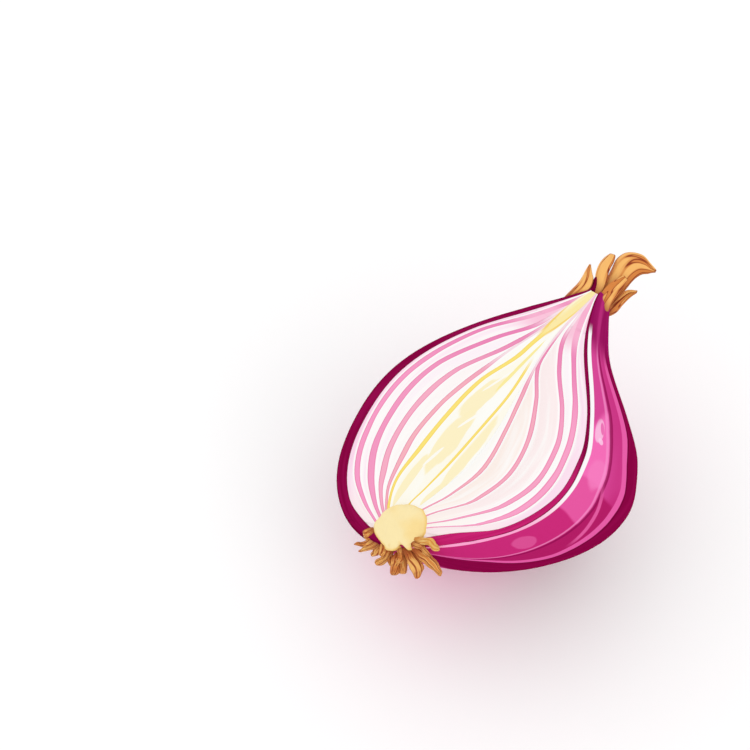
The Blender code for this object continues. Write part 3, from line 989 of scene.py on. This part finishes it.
def flesh_finish(groups, number):
    """Moist cut flesh: white, tinted with pink, with a pink line where its own skin is cut, and painted white
    highlights beside the lines.
    """
    tints, lines, widths = (SCALE_LOOKS[number - 1][k : k + 2] for k in (0, 2, 4))
    start, end, seed = SCALE_LOOKS[number - 1][6:]
    material, tree, shader = new_finish(f"cut_flesh_{number}", 0.36, 0.15, 0.15, 0.3)
    place = attribute(tree, "place")
    layer = attribute(tree, "layer")
    along, share, depth = place["Y"], place["Z"], layer["X"]
    far = layer["Y"] - depth
    right = ramped(share, -0.2, 0.2)
    tint = mixed(right, *(colour(*side) for side in tints))
    wash = streaks_of(groups, depth, along, 1.1, 4.0, seed, 0.25, 0.6, wander=0.5)
    base = mixed(wash, colour(255, 252, 250), tint)
    if number == 1:
        base = mixed(ramped(along, 0.1, 0.4, 1.0, 0.0) * 0.6, base, colour(251, 214, 238))
        flush = ramped(along, 0.84, 0.92) * right
        base = mixed(flush * 0.8, base, colour(250, 178, 212))
    # Painted highlight: the flesh turns white near its inside edge, beside the next layer's line
    base = mixed(ramped(far, 0.12, 0.4, 1.0, 0.0), base, colour(255, 254, 252))
    base = mixed(ramped(along, 0.08, 0.2, 0.5, 0.0), base, colour(255, 248, 234))
    if number > 1:
        width = right * (widths[1] - widths[0]) + widths[0]
        line = use_group(
            groups["line"], Distance=depth, Width=width, Along=along, Seed=seed, Start=start, End=end
        )
        # Painted highlight: a white margin beyond the line
        base = mixed(line["Margin"], base, colour(255, 254, 253))
        tone = mixed(right, *(colour(*side) for side in lines))
        deep = mixed(ramped(along, 0.5, 0.75, 0.0, 0.6), tone, colour(232, 110, 176))
        fade = ramped(along, end, end + 0.1, 1.0, 0.25)
        base = mixed(line["Fill"] * fade, base, deep)
        base = mixed(line["Sides"] * fade * 0.8, base, colour(238, 118, 168))
    if number == 2:
        flush = ramped(along, 0.76, 0.84) * ramped(along, 0.88, 0.93, 1.0, 0.0)
        flush = flush + ramped(along, 0.88, 0.93) * (right * 0.9)
        base = mixed(flush * 0.85, base, mixed(wash, colour(250, 168, 205), colour(252, 186, 214)))
    if number > 1:
        glow = mixed(wash, colour(254, 242, 186), colour(254, 234, 158))
        base = with_heart(groups, base, share, along, glow)
    finished(shader, base, wash, 0.12, 0.00005)
    return material


def sprout_finish(groups, name, edge_width, start, end, patches):
    """The young leaves in the middle: cream, with yellow lines where they meet, and a painted highlight beside
    the lines.
    """
    material, tree, shader = new_finish(name, 0.36, 0.15, 0.15, 0.3)
    place = attribute(tree, "place")
    layer = attribute(tree, "layer")
    along, share = place["Y"], place["Z"]
    blotch = noise_at(vector_of(share * 5.0, along * 5.0, 3.0))
    base = mixed(ramped(blotch, 0.35, 0.65), colour(255, 254, 248), colour(255, 251, 236))
    base = spotted(groups, base, share, along, patches)
    line = use_group(
        groups["line"], Distance=layer["X"], Width=edge_width, Along=along, Seed=6.0, Start=start, End=end
    )
    fade = ramped(along, end, end + 0.08, 1.0, 0.0)
    # Painted highlight: a pale margin beyond the yellow line
    base = mixed(line["Margin"] * fade, base, colour(255, 254, 248))
    base = mixed(line["Fill"] * fade, base, colour(253, 228, 112))
    base = mixed(line["Sides"] * 0.7 * fade, base, colour(248, 210, 76))
    glow = mixed(blotch, colour(254, 242, 186), colour(254, 230, 148))
    base = with_heart(groups, base, share, along, glow)
    finished(shader, base, blotch, 0.15, 0.00005)
    return material


def plate_finish():
    """Waxy cream, yellower round its rim and in its hollows."""
    material, tree, shader = new_finish("waxy_root_plate", 0.5, 0.05, 0.3, 0.2)
    position = Value(add("ShaderNodeTexCoord", {}, tree).outputs["Object"])
    mottle = noise_at(position, 420.0, 4.0, 0.6)
    broad = noise_at(position, 190.0, 2.0)
    base = mixed(ramped(broad, 0.4, 0.6), colour(253, 224, 152), colour(254, 234, 176))
    base = mixed(ramped(mottle, 0.58, 0.72, 0.0, 0.5), base, colour(248, 208, 128))
    rim = attribute(tree, "place")["X"]
    base = mixed(ramped(rim + mottle * 0.3, 0.2, 0.55, 0.85, 0.0), base, colour(250, 208, 108))
    finished(shader, base, mottle, 0.5, 0.0003)
    return material


def dry_finish(groups, name, dark, middle, light, fibres, stretch, ridged):
    """Dry fibre: dark in its hollows, creases and base as painted shade, and light on its ridges as painted
    light.
    """
    material, tree, shader = new_finish(name, 0.6, shine=0.2)
    fibre = attribute(tree, "fibre")
    across, along = fibre["X"], fibre["Y"]
    out = use_group(
        groups["fibre"], Across=across, Along=along, Seed=fibre["Z"], Fibres=fibres, Stretch=stretch
    )
    # The lit and shaded sides of the folds, painted light and shade, and painted shade in the creases
    base = mixed(out["Tone"], colour(*middle), colour(*light))
    base = mixed(out["Crease"], base, colour(*dark))
    if ridged:
        # A rootlet: painted shade in the grooves between its ridges, and at its foot by the plate
        shade = ramped(across, 0.12, 0.42, 1.0, 0.0) * 0.9
        painted_base_shade = ramped(along, 0.1, 0.5, 0.8, 0.0)
    else:
        # A leaf: darker along its edges and at its tip, and painted shade at its base where it leaves the neck
        side = maths("ABSOLUTE", across - 0.5) - 0.5
        shade = maths("MAXIMUM", ramped(side, -0.05, -0.01), ramped(along, 0.95, 0.99)) * 0.75
        painted_base_shade = ramped(along, 0.0, 0.35, 0.75, 0.0)
    base = mixed(maths("MAXIMUM", shade, painted_base_shade), base, colour(*dark))
    finished(shader, base, out["Height"], 0.8, 0.0003)
    return material


# ---------------------------------------------------------------- the shallot


def cover(piece, material):
    piece.data.materials.clear()
    piece.data.materials.append(material)


noise.seed_set(WANDER_SEED)
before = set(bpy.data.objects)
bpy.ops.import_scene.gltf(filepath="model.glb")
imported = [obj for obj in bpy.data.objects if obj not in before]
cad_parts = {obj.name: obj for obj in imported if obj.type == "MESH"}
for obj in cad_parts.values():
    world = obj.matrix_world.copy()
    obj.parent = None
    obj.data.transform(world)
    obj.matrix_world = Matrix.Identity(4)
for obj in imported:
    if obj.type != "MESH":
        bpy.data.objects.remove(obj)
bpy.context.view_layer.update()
LYING = lying_place()
groups = {
    "streaks": streak_group(),
    "line": line_group(),
    "patch": patch_group(),
    "fibre": fibre_group(),
    "heart": heart_group(),
}

outer_skin = shell("skin_outer", SKIN_OUTSIDE, SKIN_INSIDE, 0.999, start_turn=TEAR_AT, rim=0.06 * MM)
cut_off(outer_skin, Vector((0, 41.9, 0)) * MM, (0, 0.85, -0.527))
settle(outer_skin, 0.0, stands_off=True)
cover(outer_skin, skin_finish(groups))
finish_piece(outer_skin, "outer_skin", "outer_skin")
inner_skin = shell("skin_inner", SKIN_INSIDE, FLESH_EDGE, 0.995, outer_trim=LAYER_GAP, rim=0.04 * MM)
settle(inner_skin, 0.5 * MM)
border = border_finish(groups)
cover(inner_skin, border)
finish_piece(inner_skin, "inner_skin", "inner_skin")

for number in range(1, len(RINGS)):
    scale = shell(f"scale_{number}", RINGS[number - 1], RINGS[number], FLESH_END, outer_trim=LAYER_GAP)
    settle(scale, (0.5 + 0.5 * number) * MM)
    cover(scale, flesh_finish(groups, number))
    finish_piece(scale, "flesh", f"fleshy_scale_{number}")

left_edge, right_edge = RINGS[-1]
split_left = tuple(-value for value in SPROUT_SPLIT)
CREAM, NEAR_WHITE, YELLOW = (254, 241, 194), (255, 253, 246), (252, 236, 150)
# The sprout's spots, given as the skin's are
LEFT_SPOTS = (
    (0.95, CREAM, -0.115, 0.37, 0.1, 0.12, 0.35, 0.15),
    (0.95, CREAM, -0.1, 0.53, 0.09, 0.09, 0.5, 0.15),
    (0.95, CREAM, -0.27, 0.22, 0.045, 0.1, 0.5, 0.15),
    (0.95, YELLOW, 0.02, 0.68, 0.022, 0.12, 0.35, 0.15),
    (0.95, NEAR_WHITE, -0.05, 0.455, 0.016, 0.05, 1.5, 0.15),
    (0.95, NEAR_WHITE, -0.07, 0.6, 0.014, 0.05, 1.2, 0.15),
    (0.95, NEAR_WHITE, -0.17, 0.31, 0.016, 0.04, 1.2, 0.15),
)
RIGHT_SPOTS = (
    (0.95, CREAM, 0.1, 0.35, 0.062, 0.155, 0.25, 0.15),
    (0.95, CREAM, 0.03, 0.19, 0.05, 0.05, 1.0, 0.15),
)
for name, left, right, node, width, start, end, spots in (
    ("sprout_left", left_edge, SPROUT_SPLIT, "sprout_leaf_left", 0.66, 0.16, 0.86, LEFT_SPOTS),
    ("sprout_right", split_left, right_edge, "sprout_leaf_right", 0.4, 0.14, 0.64, RIGHT_SPOTS),
):
    leaf = sprout(name, left, right, FLESH_END)
    settle(leaf, 4 * MM)
    cover(leaf, sprout_finish(groups, "cream_" + name, width, start, end, spots))
    finish_piece(leaf, "sprout", node)

root_plate = root_disc()
cover(root_plate, plate_finish())
finish_piece(root_plate, "root_plate", "root_plate")

# Each rootlet's start and tip in the bulb's frame, and its width, in millimetres; how much flatter it is
# than wide, its bend to the side, and whether its tip is blunt
ROOTS = (
    ((-4.5, 0.0, 0.0), (-5.5, -1.6, -0.2), 1.31, 0.8, 0.1, True),
    ((-3.9, -0.2, -0.8), (-6.3, -3.2, -1.2), 1.14, 0.7, 0.3, False),
    ((-3.5, -0.4, -1.2), (-5.7, -3.4, -1.6), 1.25, 0.7, 0.1, False),
    ((-3.4, -0.4, -1.8), (-4.4, -2.9, -2.8), 1.25, 0.7, 0.0, True),
    ((-3.1, -0.1, -0.7), (-1.9, -2.1, -1.2), 1.31, 0.75, 0.2, True),
    ((-1.4, -0.3, -0.9), (-2.2, -3.5, -1.7), 1.31, 0.7, 0.25, True),
    ((-2.0, -0.3, -1.4), (-0.6, -2.5, -2.2), 1.2, 0.75, -0.15, False),
    ((-0.5, 0.5, -0.5), (1.1, -1.8, -1.0), 1.14, 0.7, 0.15, True),
    ((-0.4, -0.4, -1.4), (0.7, -3.2, -2.1), 1.54, 0.8, 0.0, True),
    ((0.1, 0.2, -1.6), (1.2, -2.5, -2.7), 1.54, 0.75, 0.0, True),
    ((0.4, 0.4, -0.5), (4.1, -1.3, -1.8), 1.82, 0.6, 0.35, True),
    ((0.9, 0.9, -0.2), (6.9, 0.5, -1.4), 1.4, 0.65, 0.3, True),
    ((0.9, 1.3, 0.0), (4.9, 1.5, 0.0), 1.1, 0.7, 0.25, False),
    ((1.2, 1.9, 0.2), (5.8, 2.85, 0.7), 1.05, 0.7, 0.25, True),
)
# Dark, middle and light: dark for painted shade in grooves, creases and at the foot, middle for the painted
# shaded side, light for the painted lit side
ROOT_TONES = (160, 60, 22), (232, 146, 70), (252, 192, 108)
PALE_TONES = (226, 138, 56), (250, 190, 94), (254, 214, 130)
root_finish = dry_finish(groups, "dry_rootlets", *ROOT_TONES, 2.6, 2.2, True)
pale_finish = dry_finish(groups, "young_rootlet", *PALE_TONES, 2.6, 2.2, True)
blunt, pointed = model_strand("blunt_strand", BLUNT), model_strand("pointed_strand", POINTED)
for number, (start, tip, width, flat, bend, is_blunt) in enumerate(ROOTS, 1):
    model = blunt if is_blunt else pointed
    root = place_strand(model, f"root_{number:02d}", start, tip, width * MM, flat, bend * MM, number * 0.71)
    cover(root, pale_finish if number == len(ROOTS) else root_finish)
    finish_piece(root, "rootlet", f"rootlet_{number:02d}")
bpy.data.objects.remove(blunt)
bpy.data.objects.remove(pointed)

# Each dry leaf's left and right edge, from base to tip, in millimetres in the bulb's frame
LEAVES = {
    "leaf_left": (
        ((-4.4, 38.4, -1.4), (-3.2, 39.2, -1.0)),
        ((-4.0, 39.6, -1.1), (-2.0, 40.2, -0.6)),
        ((-3.6, 41.2, -0.9), (-1.2, 41.3, -0.3)),
        ((-3.6, 42.4, -0.8), (-1.6, 42.6, -0.2)),
        ((-3.8, 43.4, -0.8), (-2.6, 43.4, -0.4)),
        ((-4.0, 44.3, -0.8), (-3.7, 44.2, -0.7)),
    ),
    "leaf_middle": (
        ((-1.0, 40.6, -1.0), (0.3, 40.8, -0.9)),
        ((-1.3, 42.2, -0.9), (0.2, 42.4, -0.7)),
        ((-2.2, 43.5, -0.8), (-0.3, 43.7, -0.5)),
        ((-2.7, 44.8, -0.8), (-0.8, 45.0, -0.5)),
        ((-2.7, 45.8, -0.8), (-1.1, 46.0, -0.6)),
        ((-2.4, 46.8, -0.9), (-1.7, 46.9, -0.8)),
    ),
    "leaf_large": (
        ((-0.6, 40.8, -2.0), (1.6, 40.6, -2.4)),
        ((-0.9, 43.0, -1.6), (1.9, 42.6, -2.3)),
        ((-1.2, 45.0, -1.5), (1.9, 44.3, -2.3)),
        ((-1.6, 46.8, -1.5), (2.0, 45.8, -2.3)),
        ((-1.0, 48.3, -1.6), (2.4, 46.8, -2.4)),
        ((0.9, 48.9, -1.8), (3.0, 47.3, -2.5)),
        ((2.4, 48.6, -2.0), (3.3, 47.7, -2.5)),
        ((3.8, 48.3, -2.4), (3.8, 48.1, -2.4)),
    ),
    "leaf_front": (
        ((0.3, 40.2, -0.9), (2.2, 39.9, -1.9)),
        ((0.4, 41.6, -0.5), (2.0, 41.3, -1.5)),
        ((0.5, 43.0, -0.5), (2.0, 42.6, -1.4)),
        ((0.9, 44.2, -0.6), (2.1, 44.0, -1.3)),
        ((1.3, 45.2, -0.8), (1.9, 45.0, -1.2)),
    ),
    "leaf_small": (
        ((0.7, 39.9, -2.0), (1.8, 39.9, -3.0)),
        ((1.0, 41.5, -2.4), (2.0, 41.0, -3.5)),
        ((1.2, 43.0, -2.8), (2.0, 42.4, -3.6)),
        ((1.7, 44.2, -3.0), (2.3, 43.7, -3.5)),
        ((2.8, 44.9, -3.2), (2.8, 44.7, -3.3)),
    ),
}
# Dark, middle and light: dark for painted shade in creases and at the base and for the dark edges and tip,
# middle for the painted shaded side, light for the painted lit side
LEAF_TONES = (146, 54, 18), (220, 134, 62), (252, 190, 108)
leaf_finish = dry_finish(groups, "papery_neck_leaf", *LEAF_TONES, 4.2, 1.0, False)
for number, (name, rows) in enumerate(LEAVES.items()):
    leaf = finish_blade(blade(name, rows, math.radians(95)), 1.3 + number)
    cover(leaf, leaf_finish)
    finish_piece(leaf, "neck_leaf", "neck_" + name)
tip_rows = (
    ((-1.7, 40.6, -0.6), (-0.3, 41.0, -0.5)),
    ((-1.6, 41.8, -0.6), (-0.8, 42.0, -0.5)),
    ((-1.8, 43.2, -0.6), (-1.6, 43.2, -0.5)),
)
skin_tip = finish_blade(blade("skin_tip", tip_rows, math.radians(60)), 9.0)
write_attribute(skin_tip, "place", bulb_place(points_of(skin_tip)))
write_attribute(skin_tip, "layer", np.zeros((len(skin_tip.data.vertices), 3)))
cover(skin_tip, border)
finish_piece(skin_tip, "inner_skin")


def look_at_it():
    """The camera, above and to the right of the root end, level with the horizon."""
    elevation, azimuth = math.radians(60), math.radians(40.3)
    distance, to_left, upwards = 270.5 * MM, 17.7 * MM, 10.28 * MM
    back = Vector(
        (math.sin(azimuth) * math.cos(elevation), -math.cos(azimuth) * math.cos(elevation), math.sin(elevation))
    )
    right = Vector((math.cos(azimuth), math.sin(azimuth), 0.0))
    upward = back.cross(right)
    middle = LYING @ Vector((0.0, 0.45 * BULB_LENGTH, -CENTRE_DEPTH * BULB_RADIUS))
    camera = bpy.data.objects.new("camera", bpy.data.cameras.new("camera"))
    bpy.context.scene.collection.objects.link(camera)
    camera.data.lens = 100
    camera.data.sensor_width = 36
    camera.data.clip_start = 0.01
    camera.location = middle + back * distance - right * to_left + upward * upwards
    camera.rotation_euler = (math.pi / 2 - elevation, 0.0, azimuth)
    bpy.context.scene.camera = camera


def area_light(name, place, size, power):
    light = bpy.data.lights.new(name, "AREA")
    light.size = size
    light.energy = power
    lamp = bpy.data.objects.new(name, light)
    bpy.context.scene.collection.objects.link(lamp)
    lamp.location = place
    lamp.rotation_euler = (-Vector(place)).to_track_quat("-Z", "Y").to_euler()


look_at_it()
area_light("key", (-0.35, -0.15, 0.6), 0.6, 0.55)
area_light("side", (0.6, 0.05, 0.3), 0.5, 0.55)
bpy.ops.object.select_all(action="DESELECT")
bpy.ops.mesh.primitive_plane_add(size=4, location=(0, 0, 0))
floor = bpy.context.active_object
floor.name = "floor"
floor_finish, _, floor_shader = new_finish("pale_floor", 0.9, shine=0.0)
floor_shader.inputs["Base Color"].default_value = (0.97, 0.97, 0.97, 1)
cover(floor, floor_finish)
world = bpy.data.worlds.new("soft_white")
world.use_nodes = True
sky = world.node_tree.nodes["Background"].inputs
sky["Color"].default_value = (1, 1, 1, 1)
sky["Strength"].default_value = 0.97
bpy.context.scene.world = world
bpy.context.scene.view_settings.view_transform = "Standard"
